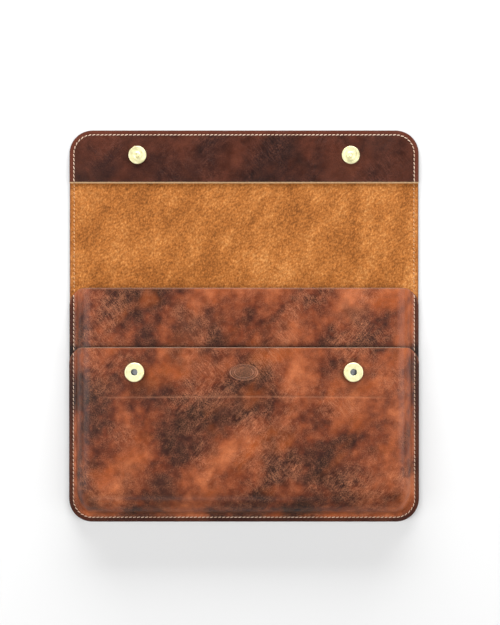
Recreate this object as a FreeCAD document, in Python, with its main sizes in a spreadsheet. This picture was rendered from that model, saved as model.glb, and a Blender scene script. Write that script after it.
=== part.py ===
import FreeCAD, Part
import math
import os
import Sketcher
from FreeCAD import Placement, Rotation, Vector

# A leather laptop sleeve that lies on its back with its flap open. X runs across it, Y from the
# bottom seam to the flap's tip and Z up through its thickness. The origin is the middle of the
# open sleeve, on the surface that it lies on.
#
# One hide makes the back, the fold and the flap. The fold is cut into two strips. They and the
# flap hinge on the hide's inner face, each by 60 degrees, so that the closed flap lies level over
# the pocket with its studs in the sockets of the snaps.

SIZES = [
    ("body_width", "354", "width of the sleeve"),
    ("body_height", "236", "bottom edge to the mouth of the laptop compartment"),
    ("pocket_drop", "59", "the pocket's mouth below the compartment's"),
    ("snap_drop", "24.5", "front snap centres below the pocket's mouth"),
    ("snap_spacing", "216", "between the two snap centres"),
    ("flap_snap_inset", "25", "flap snap centres below the flap's tip"),
    ("facing_overlap", "28.5", "flap snap centres to the facing's lower edge"),
    ("fold_gap", "8.6", "compartment's mouth to the first fold line"),
    ("corner_radius", "23.5", "outer corners of back, panels and flap"),
    ("mouth_radius", "17", "corners of the two panels' top edges"),
    ("back_leather", "2", "leather of the back and flap"),
    ("front_leather", "1.8", "leather of the two front panels"),
    ("facing_leather", "1.6", "leather of the flap's facing"),
    ("facing_skive", "1.2", "bevel on the facing's lower edge"),
    ("compartment_depth", "14", "room for the laptop under the front panel"),
    ("pocket_depth", "5", "room between the front panel and the pocket"),
    ("seam_flange", "6.5", "flat margin of the panels at the seam"),
    ("side_ramp", "18", "width of the panels' slopes at the sides"),
    ("bottom_ramp", "30", "width of the panels' slopes at the bottom"),
    ("crown_radius", "20", "corners of the panels' raised area"),
    ("stitch_inset", "4.6", "seam line inside the edge"),
    ("stitch_pitch", "4.1", "one stitch to the next"),
    ("stitch_length", "3", "visible length of a stitch"),
    ("stitch_slant", "12", "turn of a front stitch from the seam line"),
    ("thread_width", "0.9", "thickness of the thread"),
    ("groove_width", "1.3", "thread groove on the outer face of the hide"),
    ("groove_depth", "0.6", "depth of that groove"),
    ("cap_radius", "9.5", "thick half of a snap, outside"),
    ("cap_height", "4", "how far the thick half stands proud"),
    ("cap_wall", "0.6", "sheet brass of the cap and the stud plate"),
    ("cap_rounding", "0.8", "rounded rim of the cap"),
    ("socket_radius", "3.3", "centre hole of the thick half"),
    ("stud_clearance", "0.6", "room round the stud in its socket"),
    ("stud_height", "2.2", "stud above its plate"),
    ("stud_plate_radius", "9", "thin half of a snap, outside"),
    ("stud_plate_height", "1.2", "thin half without its stud"),
    ("plate_rounding", "0.4", "rounded rims of the stud plate"),
    ("snap_clearance", "0.3", "gap between the closed halves"),
    ("base_thickness", "0.4", "steel base under a cap or a stud plate"),
    ("press_gap", "0.1", "room round a base or magnet in its cover"),
    ("prong_offset", "4.5", "prongs from the snap's centre"),
    ("prong_width", "3", "width of a prong"),
    ("prong_thickness", "0.4", "thickness of a prong"),
    ("prong_foot", "3", "bent end of a prong"),
    ("slot_gap", "0.15", "room round a prong in its slot"),
    ("washer_radius", "8", "backing washer"),
    ("washer_thickness", "0.6", "thickness of a washer"),
    ("washer_hole", "2", "centre hole of a washer"),
    ("washer_gap", "0.4", "room round and behind a washer"),
    ("patch_rim", "3", "glued rim of the cover patch, beyond the washer"),
    ("patch_leather", "1", "leather of the cover patch"),
]

LAYOUT = [
    ("half_width", "sizes.body_width / 2", "side edges"),
    ("pocket_flange_z", "sizes.back_leather + sizes.front_leather", "foot of the pocket panel"),
    ("seam_top_z", "pocket_flange_z + sizes.front_leather", "top of the seamed margin"),
    ("front_hollow_z", "sizes.back_leather + sizes.compartment_depth", "inside of the front panel"),
    ("front_crown_z", "front_hollow_z + sizes.front_leather", "top of the front panel"),
    ("pocket_hollow_z", "front_crown_z + sizes.pocket_depth", "inside of the pocket panel"),
    ("pocket_crown_z", "pocket_hollow_z + sizes.front_leather", "top of the pocket panel"),
    ("facing_z", "sizes.back_leather + sizes.facing_leather", "top of the facing"),
    ("closed_gap", "sizes.cap_height + sizes.snap_clearance + sizes.stud_plate_height",
     "closed facing above the pocket"),
    ("fold_rise", "pocket_crown_z + closed_gap + sizes.facing_leather - sizes.back_leather",
     "inner face of the closed flap above that of the back"),
    ("strip_width", "fold_rise / sqrt(3)", "each of two strips, at 60 and 120 degrees when closed"),
    ("panel_length", "sizes.body_height + sizes.fold_gap", "bottom edge to the first fold line"),
    ("flap_length", "sizes.fold_gap + sizes.pocket_drop + sizes.snap_drop + sizes.flap_snap_inset",
     "last fold line to the tip, so that the snaps meet"),
    ("open_length", "panel_length + 2 * strip_width + flap_length", "bottom edge to the tip"),
    ("bottom_y", "-open_length / 2", "bottom edge"),
    ("top_y", "open_length / 2", "flap's tip"),
    ("mouth_y", "bottom_y + sizes.body_height", "mouth of the compartment"),
    ("pocket_y", "mouth_y - sizes.pocket_drop", "mouth of the pocket"),
    ("front_snap_y", "pocket_y - sizes.snap_drop", "front snaps"),
    ("flap_snap_y", "top_y - sizes.flap_snap_inset", "flap snaps"),
    ("facing_y", "flap_snap_y - sizes.facing_overlap", "facing's lower edge"),
    ("fold_a_y", "bottom_y + panel_length", "first fold line"),
    ("fold_b_y", "fold_a_y + strip_width", "second fold line"),
    ("flap_y", "fold_b_y + strip_width", "third fold line"),
    ("snap_x", "sizes.snap_spacing / 2", "snap centres"),
    ("seam_x", "half_width - sizes.stitch_inset", "side seams"),
    ("seam_radius", "sizes.corner_radius - sizes.stitch_inset", "seam line at the corners"),
    ("half_groove", "sizes.groove_width / 2", "thread groove"),
    ("cap_bore", "sizes.cap_radius - sizes.cap_wall", "inside of the cap"),
    ("plate_bore", "sizes.stud_plate_radius - sizes.cap_wall", "inside of the stud plate"),
    ("stud_radius", "sizes.socket_radius - sizes.stud_clearance", "stud"),
    ("prong_stack", "sizes.washer_thickness + sizes.prong_thickness", "washer and bent prong"),
    ("recess_depth", "prong_stack + sizes.washer_gap", "skived hollow in the flap for a washer"),
    ("recess_radius", "sizes.washer_radius + sizes.washer_gap", "radius of that hollow"),
    ("patch_depth", "recess_depth + sizes.patch_leather", "cover patch"),
    ("patch_radius", "recess_radius + sizes.patch_rim", "cover patch"),
]

STRIPS = "ab"

doc = FreeCAD.newDocument("laptop_sleeve")
pieces = []
cuts = []


def fill_sheet(name, rows, prefix):
    """A spreadsheet with one value a row: its meaning in column A, the value and alias in B."""
    sheet = doc.addObject("Spreadsheet::Sheet", name)
    for row, (alias, content, meaning) in enumerate(rows, start=1):
        sheet.set(f"A{row}", meaning)
        sheet.set(f"B{row}", prefix + content)
        sheet.setAlias(f"B{row}", alias)
    return sheet


sizes = fill_sheet("sizes", SIZES, "")
layout = fill_sheet("layout", LAYOUT, "=")
doc.recompute()


def value(expression):
    """What an expression in the two sheets comes to, in millimetres or degrees."""
    return float(sizes.evalExpression(expression))


# Sketches and features ------------------------------------------------------------------------

def new_body(label):
    body = doc.addObject("PartDesign::Body", label)
    body.Label = label
    pieces.append(body)
    return body


def place(body, x="0", y="0", z="0"):
    for axis, expression in (("x", x), ("y", y), ("z", z)):
        body.setExpression(f".Placement.Base.{axis}", expression)


def new_sketch(body, name, height="0", role="XY_Plane"):
    """A sketch on one of the body's own planes, or at a height above it."""
    sketch = body.newObject("Sketcher::SketchObject", name)
    plane = [item for item in body.Origin.OriginFeatures if item.Role == role][0]
    sketch.AttachmentSupport = [(plane, "")]
    sketch.MapMode = "FlatFace"
    sketch.setExpression(".AttachmentOffset.Base.z", height)
    return sketch


def constrain(sketch, kind, *where, expression):
    index = sketch.addConstraint(Sketcher.Constraint(kind, *where, value(expression)))
    sketch.setExpression(f"Constraints[{index}]", expression)


def draw_circle(sketch, x, y, radius):
    centre = Vector(value(x), value(y), 0)
    circle = sketch.addGeometry(Part.Circle(centre, Vector(0, 0, 1), value(radius)), False)
    constrain(sketch, "DistanceX", -1, 1, circle, 3, expression=x)
    constrain(sketch, "DistanceY", -1, 1, circle, 3, expression=y)
    constrain(sketch, "Radius", circle, expression=radius)


def toward(point, other, distance):
    return point + (other - point).normalize() * distance


def quarter_arc(start, corner, end):
    """The arc that rounds a square corner, and whether it runs from start to end."""
    centre = start + end - corner
    first = math.atan2(start.y - centre.y, start.x - centre.x)
    last = math.atan2(end.y - centre.y, end.x - centre.x)
    forward = (last - first) % (2 * math.pi) < math.pi
    if not forward:
        first, last = last, first
    last += 2 * math.pi if last < first else 0
    circle = Part.Circle(centre, Vector(0, 0, 1), (start - centre).Length)
    return Part.ArcOfCircle(circle, first, last), forward


def draw_outline(sketch, corners):
    """A closed outline of level and upright lines. A corner is (x, y) or (x, y, radius)."""
    points = [Vector(value(corner[0]), value(corner[1]), 0) for corner in corners]
    radii = [value(corner[2]) if len(corner) == 3 else 0 for corner in corners]
    following = [(index + 1) % len(corners) for index in range(len(corners))]
    lines = []
    for index, nxt in enumerate(following):
        start = toward(points[index], points[nxt], radii[index])
        end = toward(points[nxt], points[index], radii[nxt])
        line = sketch.addGeometry(Part.LineSegment(start, end), False)
        level = abs(points[index].y - points[nxt].y) < 1e-6
        sketch.addConstraint(Sketcher.Constraint("Horizontal" if level else "Vertical", line))
        kind = "DistanceY" if level else "DistanceX"
        constrain(sketch, kind, -1, 1, line, 1, expression=corners[index][1 if level else 0])
        lines.append(line)
    for index, nxt in enumerate(following):
        before, after = lines[index - 1], lines[index]
        if not radii[index]:
            sketch.addConstraint(Sketcher.Constraint("Coincident", before, 2, after, 1))
            continue
        geometry, forward = quarter_arc(
            toward(points[index], points[index - 1], radii[index]), points[index],
            toward(points[index], points[nxt], radii[index]))
        arc = sketch.addGeometry(geometry, False)
        start, end = (1, 2) if forward else (2, 1)
        sketch.addConstraint(Sketcher.Constraint("Tangent", before, 2, arc, start))
        sketch.addConstraint(Sketcher.Constraint("Tangent", arc, end, after, 1))
        constrain(sketch, "Radius", arc, expression=corners[index][2])


def box_corners(left, right, low, high):
    return [(left, low), (right, low), (right, high), (left, high)]


def pad(body, name, profile, length, down=False):
    feature = body.newObject("PartDesign::Pad", name)
    feature.Profile = profile
    feature.Reversed = down
    feature.setExpression("Length", length)
    doc.recompute()
    return feature


def pocket(body, name, profile, depth, up=False):
    """Cuts down from the sketch, or up. With no depth it cuts right through."""
    before = body.Shape.Volume
    feature = body.newObject("PartDesign::Pocket", name)
    feature.Profile = profile
    feature.Reversed = up
    if depth is None:
        feature.Type = "ThroughAll"
        feature.Midplane = True
    else:
        feature.setExpression("Length", depth)
    doc.recompute()
    cuts.append((body.Label, name, before, body.Shape.Volume))


def revolve(body, profile):
    feature = body.newObject("PartDesign::Revolution", "turned")
    feature.Profile = profile
    feature.ReferenceAxis = (profile, ["V_Axis"])
    feature.Angle = 360
    doc.recompute()


def loft(body, kind, name, foot, top):
    feature = body.newObject(f"PartDesign::{kind}", name)
    feature.Profile = foot
    feature.Sections = [top]
    feature.Ruled = True
    doc.recompute()
    return feature


# Leather --------------------------------------------------------------------------------------

HALF = "layout.half_width"
SEAM = "layout.seam_x"
GROOVE = "layout.half_groove"


def rounded_end(open_y, end_y):
    """Outline of a plate with square corners at open_y and rounded ones at end_y."""
    radius = "sizes.corner_radius"
    return [("-" + HALF, open_y), (HALF, open_y), (HALF, end_y, radius), ("-" + HALF, end_y, radius)]


def cut_end_groove(body, open_y, end_y, inward):
    """The thread groove on the outer face: down both sides and round the end. inward is the
    sign that leads from the end into the plate."""
    outer_x, inner_x = f"({SEAM} + {GROOVE})", f"({SEAM} - {GROOVE})"
    outer_y = f"{end_y} {inward} (sizes.stitch_inset - {GROOVE})"
    inner_y = f"{end_y} {inward} (sizes.stitch_inset + {GROOVE})"
    outer_radius, inner_radius = f"layout.seam_radius + {GROOVE}", f"layout.seam_radius - {GROOVE}"
    band = new_sketch(body, "groove_band")
    draw_outline(band, [
        ("-" + outer_x, open_y),
        ("-" + outer_x, outer_y, outer_radius),
        (outer_x, outer_y, outer_radius),
        (outer_x, open_y),
        (inner_x, open_y),
        (inner_x, inner_y, inner_radius),
        ("-" + inner_x, inner_y, inner_radius),
        ("-" + inner_x, open_y),
    ])
    pocket(body, "thread_groove", band, "sizes.groove_depth", up=True)


def make_back_panel():
    body = new_body("back_panel")
    outline = new_sketch(body, "outline")
    draw_outline(outline, rounded_end("layout.fold_a_y", "layout.bottom_y"))
    pad(body, "hide", outline, "sizes.back_leather")
    cut_end_groove(body, "layout.fold_a_y", "layout.bottom_y", "+")


def make_fold_strip(letter):
    body = new_body(f"fold_strip_{letter}")
    place(body, y=f"layout.fold_{letter}_y")
    outline = new_sketch(body, "outline")
    draw_outline(outline, box_corners("-" + HALF, HALF, "0", "layout.strip_width"))
    pad(body, "hide", outline, "sizes.back_leather")
    grooves = new_sketch(body, "groove_bands")
    for sign in ("-", ""):
        near, far = f"{sign}({SEAM} - {GROOVE})", f"{sign}({SEAM} + {GROOVE})"
        draw_outline(grooves, box_corners(near, far, "0", "layout.strip_width"))
    pocket(body, "thread_grooves", grooves, "sizes.groove_depth", up=True)


def make_flap_panel():
    body = new_body("flap_panel")
    outline = new_sketch(body, "outline")
    draw_outline(outline, rounded_end("layout.flap_y", "layout.top_y"))
    pad(body, "hide", outline, "sizes.back_leather")
    cut_end_groove(body, "layout.flap_y", "layout.top_y", "-")
    recesses = new_sketch(body, "washer_recesses", "sizes.back_leather")
    for sign in ("-", ""):
        draw_circle(recesses, sign + "layout.snap_x", "layout.flap_snap_y", "layout.recess_radius")
    pocket(body, "skived_recesses", recesses, "layout.recess_depth")


def draw_prong_slots(sketch, x, y):
    """Two slots, one each side of a snap's centre, that its prongs pass through."""
    half_thickness = "(sizes.prong_thickness / 2 + sizes.slot_gap)"
    half_width = "(sizes.prong_width / 2 + sizes.slot_gap)"
    for sign in ("-", "+"):
        centre = f"{x} {sign} sizes.prong_offset"
        draw_outline(sketch, box_corners(
            f"{centre} - {half_thickness}", f"{centre} + {half_thickness}",
            f"{y} - {half_width}", f"{y} + {half_width}"))


def cut_snap_slots(body, y):
    slots = new_sketch(body, "prong_slots")
    for sign in ("-", ""):
        draw_prong_slots(slots, sign + "layout.snap_x", y)
    pocket(body, "snap_slots", slots, None)


def make_flap_facing():
    body = new_body("flap_facing")
    outline = new_sketch(body, "outline", "sizes.back_leather")
    draw_outline(outline, rounded_end("layout.facing_y", "layout.top_y"))
    strip = pad(body, "strip", outline, "sizes.facing_leather")
    lower_edge = Vector(0, value("layout.facing_y"), value("layout.facing_z"))
    edges = [f"Edge{index}" for index, edge in enumerate(strip.Shape.Edges, start=1)
             if edge.CenterOfMass.distanceToPoint(lower_edge) < 1e-3]
    skive = body.newObject("PartDesign::Chamfer", "skived_edge")
    skive.Base = (strip, edges)
    skive.setExpression("Size", "sizes.facing_skive")
    doc.recompute()
    cut_snap_slots(body, "layout.flap_snap_y")


def raised_outline(ramp, mouth_y):
    """Outline of a panel's raised area. ramp is 0 at its foot and 1 at its crown."""
    side = f"({HALF} - sizes.seam_flange - {ramp} * sizes.side_ramp)"
    low = f"layout.bottom_y + sizes.seam_flange + {ramp} * sizes.bottom_ramp"
    radius = "sizes.crown_radius" if ramp else "sizes.corner_radius - sizes.seam_flange"
    return [("-" + side, mouth_y), ("-" + side, low, radius), (side, low, radius), (side, mouth_y)]


def make_panel(label, flange_z, hollow_z, mouth_y):
    """A moulded front panel: a flat margin in the seam on three sides, slopes that rise to a
    level crown, a hollow below it that is open at the mouth, and rounded mouth corners."""
    leather = "sizes.front_leather"
    body = new_body(label)
    outline = new_sketch(body, "outline", flange_z)
    draw_outline(outline, rounded_end(mouth_y, "layout.bottom_y"))
    pad(body, "margin", outline, leather)
    foot = new_sketch(body, "slope_foot", f"{flange_z} + {leather}")
    draw_outline(foot, raised_outline(0, mouth_y))
    crown = new_sketch(body, "slope_crown", f"{hollow_z} + {leather}")
    draw_outline(crown, raised_outline(1, mouth_y))
    loft(body, "AdditiveLoft", "raised", foot, crown)
    past_mouth = f"{mouth_y} + sizes.mouth_radius"
    hollow_foot = new_sketch(body, "hollow_foot", flange_z)
    draw_outline(hollow_foot, raised_outline(0, past_mouth))
    hollow_crown = new_sketch(body, "hollow_crown", hollow_z)
    draw_outline(hollow_crown, raised_outline(1, past_mouth))
    before = body.Shape.Volume
    loft(body, "SubtractiveLoft", "hollow", hollow_foot, hollow_crown)
    cuts.append((label, "hollow", before, body.Shape.Volume))
    round_mouth_corners(body, mouth_y)
    return body


def round_mouth_corners(body, mouth_y):
    """Cuts away what lies outside the rounded corners of the mouth, slopes and all."""
    radius = "sizes.mouth_radius"
    beyond = f"{radius} + sizes.seam_flange"
    trim = new_sketch(body, "corner_trim")
    for sign in ("-", ""):
        outer, edge = f"{sign}({HALF} + {radius})", f"{sign}{HALF}"
        inner = f"{sign}({HALF} - {beyond})"
        low = f"{mouth_y} - ({beyond})"
        high = f"{mouth_y} + {radius}"
        draw_outline(trim, [(outer, low), (edge, low), (edge, mouth_y, radius),
                            (inner, mouth_y), (inner, high), (outer, high)])
    pocket(body, "rounded_corners", trim, None)


# Snaps ----------------------------------------------------------------------------------------

def make_turned(label, corners):
    """A round piece about its own Z axis, from a section of (radius, height) corners."""
    body = new_body(label)
    section = new_sketch(body, "section", role="XZ_Plane")
    draw_outline(section, corners)
    revolve(body, section)
    return body


def make_base(label, radius, leather):
    """A steel disc with two prongs that pass down through the leather and its washer, and are
    bent outward under the washer."""
    body = new_body(label)
    disc = new_sketch(body, "disc_edge")
    draw_circle(disc, "0", "0", radius)
    pad(body, "disc", disc, "sizes.base_thickness")
    legs = new_sketch(body, "leg_sections")
    feet = new_sketch(body, "foot_outlines", f"-({leather} + layout.prong_stack)")
    half_width = "sizes.prong_width / 2"
    for sign in ("-", ""):
        near = f"{sign}(sizes.prong_offset - sizes.prong_thickness / 2)"
        far = f"{sign}(sizes.prong_offset + sizes.prong_thickness / 2)"
        toe = f"{sign}(sizes.prong_offset + sizes.prong_thickness / 2 + sizes.prong_foot)"
        draw_outline(legs, box_corners(near, far, f"-{half_width}", half_width))
        draw_outline(feet, box_corners(near, toe, f"-{half_width}", half_width))
    pad(body, "legs", legs, f"{leather} + layout.prong_stack", down=True)
    pad(body, "feet", feet, "sizes.prong_thickness")
    return body


def make_washer(label):
    body = new_body(label)
    disc = new_sketch(body, "disc_edge")
    draw_circle(disc, "0", "0", "sizes.washer_radius")
    pad(body, "disc", disc, "sizes.washer_thickness")
    holes = new_sketch(body, "holes")
    draw_circle(holes, "0", "0", "sizes.washer_hole")
    draw_prong_slots(holes, "0", "0")
    pocket(body, "centre_hole_and_slots", holes, None)
    return body


def make_thick_half(side, x):
    """The half of a snap on the pocket, with its magnet, and what holds it from behind."""
    y, top, under = "layout.front_snap_y", "layout.pocket_crown_z", "layout.pocket_hollow_z"
    ceiling = "sizes.cap_height - sizes.cap_wall"
    cap = make_turned(f"snap_cap_{side}", [
        ("layout.cap_bore", "0"), ("sizes.cap_radius", "0"),
        ("sizes.cap_radius", "sizes.cap_height", "sizes.cap_rounding"),
        ("sizes.socket_radius", "sizes.cap_height"), ("sizes.socket_radius", ceiling),
        ("layout.cap_bore", ceiling)])
    place(cap, x, y, top)
    magnet = make_turned(f"snap_magnet_{side}", box_corners(
        "sizes.socket_radius", "layout.cap_bore - sizes.press_gap", "sizes.base_thickness", ceiling))
    place(magnet, x, y, top)
    base = make_base(f"snap_base_{side}", "layout.cap_bore - sizes.press_gap", "sizes.front_leather")
    place(base, x, y, top)
    washer = make_washer(f"snap_washer_{side}")
    place(washer, x, y, f"{under} - sizes.washer_thickness")
    patch = make_turned(f"snap_cover_patch_{side}", [
        ("0", "-layout.patch_depth"),
        ("layout.patch_radius", "-layout.patch_depth", "sizes.patch_leather"),
        ("layout.patch_radius", "0"), ("layout.recess_radius", "0"),
        ("layout.recess_radius", "-layout.recess_depth"), ("0", "-layout.recess_depth")])
    place(patch, x, y, under)


def make_thin_half(side, x):
    """The half of a snap on the flap, with its stud, and what holds it behind the facing."""
    y, top = "layout.flap_snap_y", "layout.facing_z"
    height = "sizes.stud_plate_height"
    plate = make_turned(f"stud_plate_{side}", [
        ("0", "sizes.base_thickness"), ("layout.plate_bore", "sizes.base_thickness"),
        ("layout.plate_bore", "0"), ("sizes.stud_plate_radius", "0"),
        ("sizes.stud_plate_radius", height, "sizes.plate_rounding"),
        ("layout.stud_radius", height),
        ("layout.stud_radius", f"{height} + sizes.stud_height", "sizes.plate_rounding"),
        ("0", f"{height} + sizes.stud_height")])
    place(plate, x, y, top)
    base = make_base(f"stud_base_{side}", "layout.plate_bore - sizes.press_gap",
                     "sizes.facing_leather")
    place(base, x, y, top)
    washer = make_washer(f"stud_washer_{side}")
    place(washer, x, y, "sizes.back_leather - sizes.washer_thickness")


# Thread ---------------------------------------------------------------------------------------

def stitch_bar():
    """A stitch: half a round bar along X, flat side down."""
    length, radius = value("sizes.stitch_length"), value("sizes.thread_width") / 2
    rod = Part.makeCylinder(radius, length, Vector(-length / 2, 0, 0), Vector(1, 0, 0))
    return rod.common(Part.makeBox(length, 2 * radius, radius, Vector(-length / 2, -radius, 0)))


def side_run(low_y, high_y):
    """Stitches up both side seams, as (x, y, direction in degrees)."""
    count = round((high_y - low_y) / value("sizes.stitch_pitch"))
    step = (high_y - low_y) / count
    heights = [low_y + (index + 0.5) * step for index in range(count)]
    seam_x = value(SEAM)
    return [(side * seam_x, y, 90) for side in (-1, 1) for y in heights]


def end_run(open_y, end_y):
    """Stitches down one side seam, round the end's two corners and back up the other side."""
    inward = math.copysign(1, open_y - end_y)
    corner, radius = value("sizes.corner_radius"), value("layout.seam_radius")
    straight = abs(open_y - end_y) - corner
    bend = radius * math.pi / 2
    centre_x, centre_y = -value(HALF) + corner, end_y + inward * corner
    half_length = straight + bend - centre_x
    count = round(2 * half_length / value("sizes.stitch_pitch"))
    spots = []
    for index in range(count):
        along = (index + 0.5) * 2 * half_length / count
        mirror = -1 if along > half_length else 1
        along = min(along, 2 * half_length - along)
        if along < straight:
            x, y, direction = centre_x - radius, open_y - inward * along, 90
        elif along < straight + bend:
            turn = (along - straight) / radius
            x = centre_x - radius * math.cos(turn)
            y = centre_y - inward * radius * math.sin(turn)
            direction = math.degrees(math.atan2(-inward * math.cos(turn), math.sin(turn)))
        else:
            x, y, direction = centre_x + along - straight - bend, centre_y - inward * radius, 0
        spots.append((mirror * x, y, mirror * direction))
    return spots


def make_stitches(label, runs):
    """One node of stitches. A run is its spots, its height and whether it is on the outer face,
    where a stitch lies flat side up against the floor of the groove."""
    bar = stitch_bar()
    slant = Rotation(Vector(0, 0, 1), value("sizes.stitch_slant"))
    turned_over = Rotation(Vector(1, 0, 0), 180)
    bars = []
    for spots, height, outer_face in runs:
        for x, y, direction in spots:
            along_seam = Rotation(Vector(0, 0, 1), direction)
            turn = along_seam.multiply(turned_over if outer_face else slant)
            stitch = bar.copy()
            stitch.Placement = Placement(Vector(x, y, height), turn)
            bars.append(stitch)
    feature = doc.addObject("Part::Feature", label)
    feature.Label = label
    feature.Shape = Part.makeCompound(bars)
    feature.Placement = Placement()
    pieces.append(feature)


def mouth_edge_at_seam(mouth_y, thread_side):
    """Where a panel's rounded mouth corner crosses the seam, on one side of the thread."""
    radius = value("sizes.mouth_radius")
    inset = value("sizes.stitch_inset") + thread_side * value("sizes.thread_width")
    return mouth_y - radius + math.sqrt(radius ** 2 - (radius - inset) ** 2)


def make_all_stitches():
    inside, groove = value("sizes.back_leather"), value("sizes.groove_depth")
    fold_a, flap, facing = value("layout.fold_a_y"), value("layout.flap_y"), value("layout.facing_y")
    bottom, top = value("layout.bottom_y"), value("layout.top_y")
    pocket_mouth, front_mouth = value("layout.pocket_y"), value("layout.mouth_y")
    make_stitches("body_stitches_front", [
        (end_run(mouth_edge_at_seam(pocket_mouth, -1), bottom), value("layout.seam_top_z"), False),
        (side_run(mouth_edge_at_seam(pocket_mouth, 1), mouth_edge_at_seam(front_mouth, -1)),
         value("layout.pocket_flange_z"), False),
        (side_run(mouth_edge_at_seam(front_mouth, 1), fold_a), inside, False),
    ])
    make_stitches("body_stitches_back", [(end_run(fold_a, bottom), groove, True)])
    for letter in STRIPS:
        low = value(f"layout.fold_{letter}_y")
        spots = side_run(low, low + value("layout.strip_width"))
        make_stitches(f"fold_stitches_{letter}", [(spots, inside, False), (spots, groove, True)])
    make_stitches("flap_stitches_inner", [
        (side_run(flap, facing), inside, False),
        (end_run(facing + value("sizes.facing_skive"), top), value("layout.facing_z"), False),
    ])
    make_stitches("flap_stitches_outer", [(end_run(flap, top), groove, True)])


# The sleeve -----------------------------------------------------------------------------------

make_back_panel()
for strip in STRIPS:
    make_fold_strip(strip)
make_flap_panel()
make_flap_facing()
make_panel("front_panel", "sizes.back_leather", "layout.front_hollow_z", "layout.mouth_y")
pocket_panel = make_panel(
    "pocket_panel", "layout.pocket_flange_z", "layout.pocket_hollow_z", "layout.pocket_y")
cut_snap_slots(pocket_panel, "layout.front_snap_y")
for side_name, centre_line in (("left", "-layout.snap_x"), ("right", "layout.snap_x")):
    make_thick_half(side_name, centre_line)
    make_thin_half(side_name, centre_line)
make_all_stitches()
doc.recompute()

for item in doc.Objects:
    if "Invalid" in item.State or "Error" in item.State:
        raise RuntimeError(f"{item.Label} failed: {item.State}")
for label, name, before, after in cuts:
    if after > before - 1:
        raise RuntimeError(f"{label}: {name} cuts nothing")
for piece in pieces:
    if piece.Shape.isNull() or not piece.Shape.isValid():
        raise RuntimeError(f"{piece.Label} has no valid shape")

os.makedirs("parts", exist_ok=True)
for piece in pieces:
    piece.Shape.exportStep(f"parts/{piece.Label}.step")
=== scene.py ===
import math

import bmesh
import bpy
import numpy as np
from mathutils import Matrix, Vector, noise


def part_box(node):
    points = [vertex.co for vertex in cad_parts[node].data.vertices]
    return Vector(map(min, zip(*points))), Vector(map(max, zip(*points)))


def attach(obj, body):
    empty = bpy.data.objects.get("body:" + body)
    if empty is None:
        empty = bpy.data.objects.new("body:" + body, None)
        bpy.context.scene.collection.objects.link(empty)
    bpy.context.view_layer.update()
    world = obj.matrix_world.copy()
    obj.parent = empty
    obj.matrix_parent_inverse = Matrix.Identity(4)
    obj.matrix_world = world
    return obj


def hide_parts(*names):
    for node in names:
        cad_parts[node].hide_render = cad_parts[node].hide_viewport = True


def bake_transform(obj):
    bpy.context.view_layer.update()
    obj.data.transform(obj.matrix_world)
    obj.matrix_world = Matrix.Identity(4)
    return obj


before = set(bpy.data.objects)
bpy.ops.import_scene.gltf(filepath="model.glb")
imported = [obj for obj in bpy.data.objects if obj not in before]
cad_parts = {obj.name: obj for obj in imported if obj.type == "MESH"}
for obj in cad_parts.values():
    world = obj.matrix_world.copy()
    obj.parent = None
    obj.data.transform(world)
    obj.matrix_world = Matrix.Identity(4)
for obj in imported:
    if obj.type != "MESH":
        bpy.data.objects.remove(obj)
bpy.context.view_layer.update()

# A leather laptop sleeve that lies open on a pale floor, seen from straight above. The frame's
# flat strips and plain panels are replaced by a soft hide in three pieces across the fold, two
# moulded panels, a facing, sewn thread and turned snaps. Lengths here are in millimetres, and
# meshes and lights are made in metres.

MM = 0.001


# Places, all read from the frame --------------------------------------------------------------

def box_mm(node):
    """Lowest and highest corners of a CAD node, in millimetres."""
    low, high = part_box(node)
    return np.array(low) / MM, np.array(high) / MM


back_low, back_high = box_mm("back_panel")
strip_a_low, _ = box_mm("fold_strip_a")
strip_b_low, _ = box_mm("fold_strip_b")
flap_low, flap_high = box_mm("flap_panel")
facing_low, facing_high = box_mm("flap_facing")
front_low, front_high = box_mm("front_panel")
pocket_low, pocket_high = box_mm("pocket_panel")
cap_low, cap_high = box_mm("snap_cap_right")
plate_low, plate_high = box_mm("stud_plate_right")
patch_low, patch_high = box_mm("snap_cover_patch_right")

HALF_WIDTH = back_high[0]
BOTTOM_Y, TOP_Y = back_low[1], flap_high[1]
HIDE = back_high[2]
FOLD_LINES = (strip_a_low[1], strip_b_low[1], flap_low[1])
STRIP_WIDTH = FOLD_LINES[1] - FOLD_LINES[0]
SPLIT_LOW = FOLD_LINES[0] + STRIP_WIDTH / 2
SPLIT_HIGH = FOLD_LINES[1] + STRIP_WIDTH / 2
MOUTH_Y, POCKET_Y = front_high[1], pocket_high[1]
FACING_Y, FACING_Z = facing_low[1], facing_high[2]
FRONT_LEATHER = pocket_low[2] - front_low[2]
SEAM_TOP = pocket_low[2] + FRONT_LEATHER
SNAP_X = (cap_low[0] + cap_high[0]) / 2
FRONT_SNAP_Y = (cap_low[1] + cap_high[1]) / 2
FLAP_SNAP_Y = (plate_low[1] + plate_high[1]) / 2
FLAP_TIP_CLOSED = FRONT_SNAP_Y - (TOP_Y - FLAP_SNAP_Y)

# Sizes that the frame's boxes don't hold. The first group is the leather's outline and shape.
CORNER_RADIUS = 23.5
MOUTH_RADIUS = 17.0
RIM_ROUNDING = 0.45
FACING_ROUNDING = 0.4
SKIVE = 1.2
SEAM_INSET = 4.6
SEAM_FLANGE = 6.5
SIDE_RAMP = 18.0
BOTTOM_RAMP = 30.0
GROOVE_DEPTH = 0.6

# Hand-sewn stitches of waxed thread.
STITCH_PITCH = 4.1
STITCH_HALF = 1.75
STITCH_SLANT = math.radians(12)
STITCH_WOBBLE = 0.05
STITCH_RISE, STITCH_DIVE = 0.16, 0.6
THREAD_RADIUS = 0.44

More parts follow.
